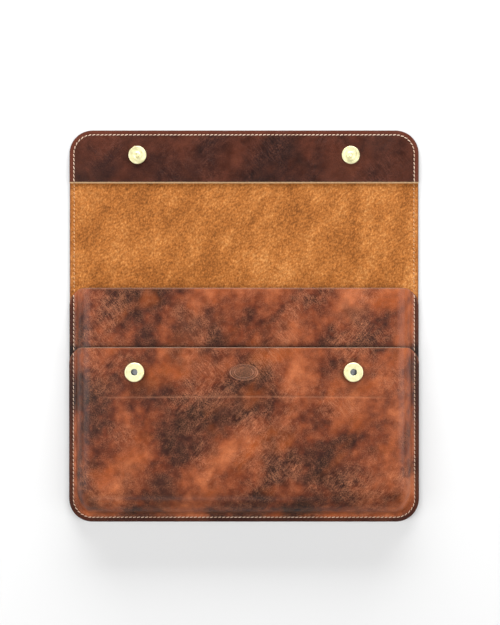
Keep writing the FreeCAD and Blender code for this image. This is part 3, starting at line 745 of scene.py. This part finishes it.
def make_panel(name, seam_z, crown_z, mouth_y, seed, marks=None):
    """A panel with a flat sewn margin, a soft swelling and a free mouth with round corners.
    The pocket has marks(x, y), which is how far its face is pressed in, and the caps' pads."""
    inset = RIM_ROUNDING
    rows_dense, columns_dense = (), ()
    if marks:
        long, short = STAMP_HALF[0] + 0.7, STAMP_HALF[1] + 0.7
        rows_dense = [(FRONT_SNAP_Y - short, FRONT_SNAP_Y + short, STAMP_STEP),
                      (FLAP_TIP_CLOSED - 3, FLAP_TIP_CLOSED + 3, CREASE_STEP)]
        columns_dense = [(-long, long, STAMP_STEP)]
    rows = graded(BOTTOM_Y + inset, mouth_y - inset, dense=rows_dense)
    columns = graded(-HALF_WIDTH, HALF_WIDTH, dense=columns_dense)
    x, y = layout_grid(rows, columns, CORNER_RADIUS, MOUTH_RADIUS, inset)
    edge = rim_distance(x, y, BOTTOM_Y, mouth_y, CORNER_RADIUS, 0)
    risen = swell(x, y)
    slack = (0.32 * waves(x, y, 55, seed) + 0.12 * waves(x, y, 17, seed + 3)) * risen
    calm = smooth(mouth_y - y, 0, 16) * smooth(from_snap(x, y, FRONT_SNAP_Y), 10.5, 24)
    height = seam_z + (crown_z - seam_z) * risen + slack * calm - 0.3 * risen
    height -= seam_dip(edge, 0.3, 0.3, 1.2)
    height -= 0.15 * (1 - smooth(edge, 3.0, SEAM_INSET))
    if marks:
        height += around_cap(x, y) - marks(x, y)
        # Painted shade: a dark ring round the foot of each cap, where its shadow falls, kept as
        # pressing below 0.
        painted_shade = 0.7 * np.exp(-np.abs(from_snap(x, y, FRONT_SNAP_Y) - 9.5) / 2.4)
        pressed = marks(x, y) / STAMP_DEPTH - painted_shade
    else:
        # Painted shadow: the main panel darkens just above the pocket's top edge, kept as pressing
        # below 0.
        pressed = -np.exp(-np.clip(y - POCKET_Y, 0, None) / 2.6)
    top = np.stack([x, y, height], 2)
    bottom = top - panel_normals(x, y, crown_z - seam_z) * (FRONT_LEATHER - 0.05)
    return leather_piece(name, top, bottom, [grain, flesh, burnished, raw_edge], inset, edge,
                         mouth_distance(x, y, mouth_y), pressed,
                         mouth_from=mouth_y - 0.4 * MOUTH_RADIUS)


def pocket_marks(x, y):
    """The stamp, and the crease that the closed flap's edge has left across the pocket."""
    bowed = FLAP_TIP_CLOSED + 0.8 * np.cos(x / HALF_WIDTH * 2.2)
    crease = CREASE_DEPTH * np.exp(-((y - bowed) / CREASE_HALF_WIDTH) ** 2)
    return stamp(x, y) + crease * smooth(HALF_WIDTH - np.abs(x), 26, 60)


main_panel = make_panel("main_panel", pocket_low[2], front_high[2], MOUTH_Y, 1.0)
pocket = make_panel("pocket", SEAM_TOP, pocket_high[2], POCKET_Y, 7.0, pocket_marks)
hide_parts("front_panel")
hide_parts("pocket_panel")
for piece in (main_panel, pocket):
    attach(piece, "sleeve")


# Thread ---------------------------------------------------------------------------------------

def side_run(low, high):
    """Stitches up both side seams, as (x, y, direction)."""
    count = max(1, round((high - low) / STITCH_PITCH))
    heights = low + (np.arange(count) + 0.5) * (high - low) / count
    seam_x = HALF_WIDTH - SEAM_INSET
    return [(side * seam_x, y, math.pi / 2) for side in (-1, 1) for y in heights]


def end_run(open_y, end_y):
    """Stitches down one side seam, round the end's two corners and back up the other side."""
    inward = math.copysign(1, open_y - end_y)
    radius = CORNER_RADIUS - SEAM_INSET
    straight = abs(open_y - end_y) - CORNER_RADIUS
    bend_length = radius * math.pi / 2
    centre_x, centre_y = CORNER_RADIUS - HALF_WIDTH, end_y + inward * CORNER_RADIUS
    half_length = straight + bend_length - centre_x
    count = round(2 * half_length / STITCH_PITCH)
    spots = []
    for number in range(count):
        along = (number + 0.5) * 2 * half_length / count
        mirror = -1 if along > half_length else 1
        along = min(along, 2 * half_length - along)
        if along < straight:
            x, y, direction = centre_x - radius, open_y - inward * along, math.pi / 2
        elif along < straight + bend_length:
            turn = (along - straight) / radius
            x = centre_x - radius * math.cos(turn)
            y = centre_y - inward * radius * math.sin(turn)
            direction = math.atan2(-inward * math.cos(turn), math.sin(turn))
        else:
            x = centre_x + along - straight - bend_length
            y, direction = centre_y - inward * radius, 0
        spots.append((mirror * x, y, mirror * direction))
    return spots


STITCH_SECTIONS, STITCH_SIDES = 11, 10

# Heights of the thread's middle, in the outer face's groove and on the suede.
IN_GROOVE = 0.5
ON_SUEDE = HIDE - 0.25


def stitch_shape(rise, dive):
    """One stitch of two-ply thread along X, arched so that both ends sink into the leather."""
    along = np.linspace(-1, 1, STITCH_SECTIONS)
    turns = np.arange(STITCH_SIDES) * 2 * math.pi / STITCH_SIDES
    twist = along * math.pi * 1.6
    ply = 0.87 + 0.13 * np.cos(2 * (turns[None, :] - twist[:, None]))
    radius = THREAD_RADIUS * ply * (1 - 0.3 * along[:, None] ** 6)
    x = np.repeat(along[:, None] * STITCH_HALF, STITCH_SIDES, 1)
    y = radius * np.cos(turns)[None, :]
    z = radius * np.sin(turns)[None, :] + (rise - dive * np.abs(along) ** 3)[:, None]
    return np.stack([x, y, z], 2).reshape(-1, 3)


def stitch_faces():
    """A stitch's sides as an array of quads, and its two end caps."""
    quads = []
    for section in range(STITCH_SECTIONS - 1):
        low, high = section * STITCH_SIDES, (section + 1) * STITCH_SIDES
        for side in range(STITCH_SIDES):
            following = (side + 1) % STITCH_SIDES
            quads.append((low + side, low + following, high + following, high + side))
    last = (STITCH_SECTIONS - 1) * STITCH_SIDES
    caps = [tuple(range(STITCH_SIDES))[::-1], tuple(range(last, last + STITCH_SIDES))]
    return np.array(quads), caps


def make_thread(name, runs):
    """One piece of thread. A run is its spots, its height, and whether it is on the outer
    face, where the stitches lie in the groove and bulge downward. On the suede the thread has
    taken up its tan."""
    quads, caps = stitch_faces()
    vertices, faces, kinds = [], [], []
    for spots, height, outer in runs:
        shape = stitch_shape(STITCH_RISE, STITCH_DIVE)
        if outer:
            shape = shape * (1, -1, -1)
        for number, (x, y, direction) in enumerate(spots):
            turn = direction + (0 if outer else STITCH_SLANT)
            turn += STITCH_WOBBLE * math.sin(number * 2.39)
            cos, sin = math.cos(turn), math.sin(turn)
            placed = shape @ np.array([[cos, sin, 0], [-sin, cos, 0], [0, 0, 1]])
            start = len(vertices) * len(shape)
            vertices.append(placed + (x, y, height))
            faces += (quads + start).tolist()
            faces += [tuple(index + start for index in cap) for cap in caps]
            kinds += [int(height == ON_SUEDE)] * (len(quads) + len(caps))
    points = np.concatenate(vertices)
    far = np.full(len(points), FAR)
    piece = make_object(name, points, faces, kinds, [thread, tan_thread], far, far, far * 0)
    return piece


def mouth_at_seam(mouth_y, side):
    """Where a panel's round mouth corner crosses the seam, on one side of the thread."""
    inset = SEAM_INSET + side * 2 * THREAD_RADIUS
    return mouth_y - MOUTH_RADIUS + math.sqrt(MOUTH_RADIUS ** 2 - (MOUTH_RADIUS - inset) ** 2)


panel_thread = make_thread("thread_panels", [
    (end_run(mouth_at_seam(POCKET_Y, -1), BOTTOM_Y), SEAM_TOP - 0.3, False),
    (side_run(mouth_at_seam(POCKET_Y, 1), mouth_at_seam(MOUTH_Y, -1)), pocket_low[2] - 0.3, False),
])
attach(panel_thread, "sleeve")
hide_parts("body_stitches_front")
back_thread = make_thread("thread_back", [
    (end_run(SPLIT_LOW, BOTTOM_Y), IN_GROOVE, True),
    (side_run(mouth_at_seam(MOUTH_Y, 1), SPLIT_LOW), ON_SUEDE, False),
])
fold_thread = make_thread("thread_fold", [
    (side_run(SPLIT_LOW, SPLIT_HIGH), IN_GROOVE, True),
    (side_run(SPLIT_LOW, SPLIT_HIGH), ON_SUEDE, False),
])
flap_thread = make_thread("thread_flap", [
    (end_run(SPLIT_HIGH, TOP_Y), IN_GROOVE, True),
    (side_run(SPLIT_HIGH, FACING_Y), ON_SUEDE, False),
])
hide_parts("body_stitches_back", "fold_stitches_a")
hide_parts("fold_stitches_b")
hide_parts("flap_stitches_outer")
for piece, (parent, child), fold_line in zip(
        (back_thread, fold_thread, flap_thread), BENDS, FOLD_LINES):
    bend(piece)
facing_thread = make_thread("thread_facing", [
    (end_run(FACING_Y + SKIVE, TOP_Y), FACING_Z - 0.36, False)])
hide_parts("flap_stitches_inner")
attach(facing_thread, "flap")


# Snaps ----------------------------------------------------------------------------------------

def arc(centre_radius, centre_height, radius, start, end, steps=6):
    """Rows of a turned profile along an arc, between two angles in degrees."""
    turns = np.radians(np.linspace(start, end, steps))
    return [(centre_radius + radius * math.cos(t), centre_height + radius * math.sin(t))
            for t in turns]


def make_cap(side, x):
    """The thick half's brass cap: rounded rim, faintly dished face and a rolled centre hole."""
    radius, height = cap_high[0] - SNAP_X, cap_high[2] - cap_low[2]
    wall, rim, roll = 0.6, 0.8, 0.5
    inner, ceiling = radius - wall, height - wall - 0.4
    profile = [(inner, 0.0), (radius, 0.0), (radius, 0.5)]
    profile += arc(radius - rim, height - rim, rim, 0, 90, 8)
    profile += [(radius - 2 * rim, height - 0.10), (radius - 3.0, height - 0.14)]
    profile += arc(SOCKET_RADIUS + roll, height - roll - 0.1, roll, 90, 180)
    profile += [(SOCKET_RADIUS, ceiling), (inner, ceiling)]
    cap = turned_piece(f"snap_cap_{side}_turned", x, FRONT_SNAP_Y, cap_low[2], profile, brass)
    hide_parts(f"snap_cap_{side}")
    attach(cap, "sleeve")


def make_plate(side, x):
    """The thin half: a flat rim, a shallow ring and a rounded centre stud."""
    radius, full = plate_high[0] - SNAP_X, plate_high[2] - plate_low[2]
    stud, rim, hollow = STUD_RADIUS, 1.2, 0.42
    profile = [(0, hollow), (radius - 0.6, hollow), (radius - 0.6, 0.0), (radius, 0.0)]
    profile += arc(radius - 0.4, rim - 0.4, 0.4, 0, 90, 5)
    profile += [(radius - 1.7, rim), (radius - 2.1, rim - 0.22), (stud + 1.6, rim - 0.26),
                (stud + 1.1, rim - 0.05), (stud + 0.25, rim - 0.02), (stud, rim + 0.2)]
    profile += arc(stud - 0.5, full - 0.5, 0.5, 0, 90)
    profile += [(stud - 1.0, full), (stud - 1.3, full - 0.15), (0, full - 0.2)]
    plate = turned_piece(f"stud_plate_{side}_turned", x, FLAP_SNAP_Y, plate_low[2], profile,
                         brass)
    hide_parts(f"stud_plate_{side}")
    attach(plate, "flap")


def make_patch(side, x):
    """The suede disc glued over a washer inside the pocket, moulded over it."""
    radius, depth = patch_high[0] - SNAP_X, patch_high[2] - patch_low[2]
    profile = [(0, -depth), (radius - 4.2, -depth), (radius - 3.4, -depth + 0.2),
               (radius - 2.6, -depth + 0.9), (radius - 1.4, -1.05), (radius - 0.3, -0.9),
               (radius, -0.5), (radius, 0), (radius - 3, 0), (radius - 3.1, -depth + 1.0),
               (0, -depth + 1.0)]
    patch = turned_piece(f"snap_cover_patch_{side}_moulded", x, FRONT_SNAP_Y, patch_high[2],
                         profile, flesh)
    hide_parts(f"snap_cover_patch_{side}")
    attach(patch, "sleeve")


for side_name, centre in (("left", -SNAP_X), ("right", SNAP_X)):
    make_cap(side_name, centre)
    make_plate(side_name, centre)
    make_patch(side_name, centre)

for node_name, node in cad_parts.items():
    if "magnet" in node_name:
        finish_metal = dark_magnet
    elif "base" in node_name or "washer" in node_name:
        finish_metal = steel
    else:
        continue
    node.data.materials.clear()
    node.data.materials.append(finish_metal)


# Floor, light and camera ----------------------------------------------------------------------

def make_floor():
    """A plain pale floor just under the sleeve, in metres."""
    mesh = bpy.data.meshes.new("floor")
    reach, level = 4.0, -0.0004
    mesh.from_pydata([(-reach, -reach, level), (reach, -reach, level), (reach, reach, level),
                      (-reach, reach, level)], [], [(0, 1, 2, 3)])
    floor = bpy.data.objects.new("floor", mesh)
    bpy.context.scene.collection.objects.link(floor)
    shader = Shader("floor_white", Roughness=0.8)
    shader.surface.inputs["Specular IOR Level"].default_value = 0.1
    shader.surface.inputs["Base Color"].default_value = (0.74, 0.74, 0.74, 1)
    mesh.materials.append(shader.material)


def soft_box(name, place, size, power):
    """A rectangular white area light that faces the sleeve, in metres and watts."""
    data = bpy.data.lights.new(name, "AREA")
    data.shape, data.size, data.size_y = "RECTANGLE", *size
    data.energy = power
    light = bpy.data.objects.new(name, data)
    light.location = place
    light.rotation_euler = (-Vector(place)).to_track_quat("-Z", "Y").to_euler()
    bpy.context.scene.collection.objects.link(light)


make_floor()
soft_box("left_box", (-1.1, -0.1, 1.0), (0.6, 1.4), 15)
soft_box("right_box", (1.1, -0.1, 1.0), (0.6, 1.4), 15)
soft_box("near_box", (-0.2, -1.3, 1.1), (0.7, 0.4), 4)
soft_box("far_box", (0.0, 1.5, 0.36), (1.8, 0.4), 60)
world = bpy.data.worlds.new("studio")
world.use_nodes = True
world.node_tree.nodes["Background"].inputs["Color"].default_value = (1, 1, 1, 1)
world.node_tree.nodes["Background"].inputs["Strength"].default_value = 0.12
bpy.context.scene.world = world
bpy.context.scene.view_settings.view_transform = "Standard"

# The camera looks straight down. VIEW_HEIGHT is how much of the floor its longer side spans.
CAMERA_HEIGHT = 0.885
VIEW_HEIGHT = 0.6356
camera_data = bpy.data.cameras.new("camera")
camera_data.sensor_width = 36.0
camera_data.lens = camera_data.sensor_width * CAMERA_HEIGHT / VIEW_HEIGHT
camera = bpy.data.objects.new("camera", camera_data)
camera.location = (0.006, 0.0135, CAMERA_HEIGHT)
bpy.context.scene.collection.objects.link(camera)
bpy.context.scene.camera = camera
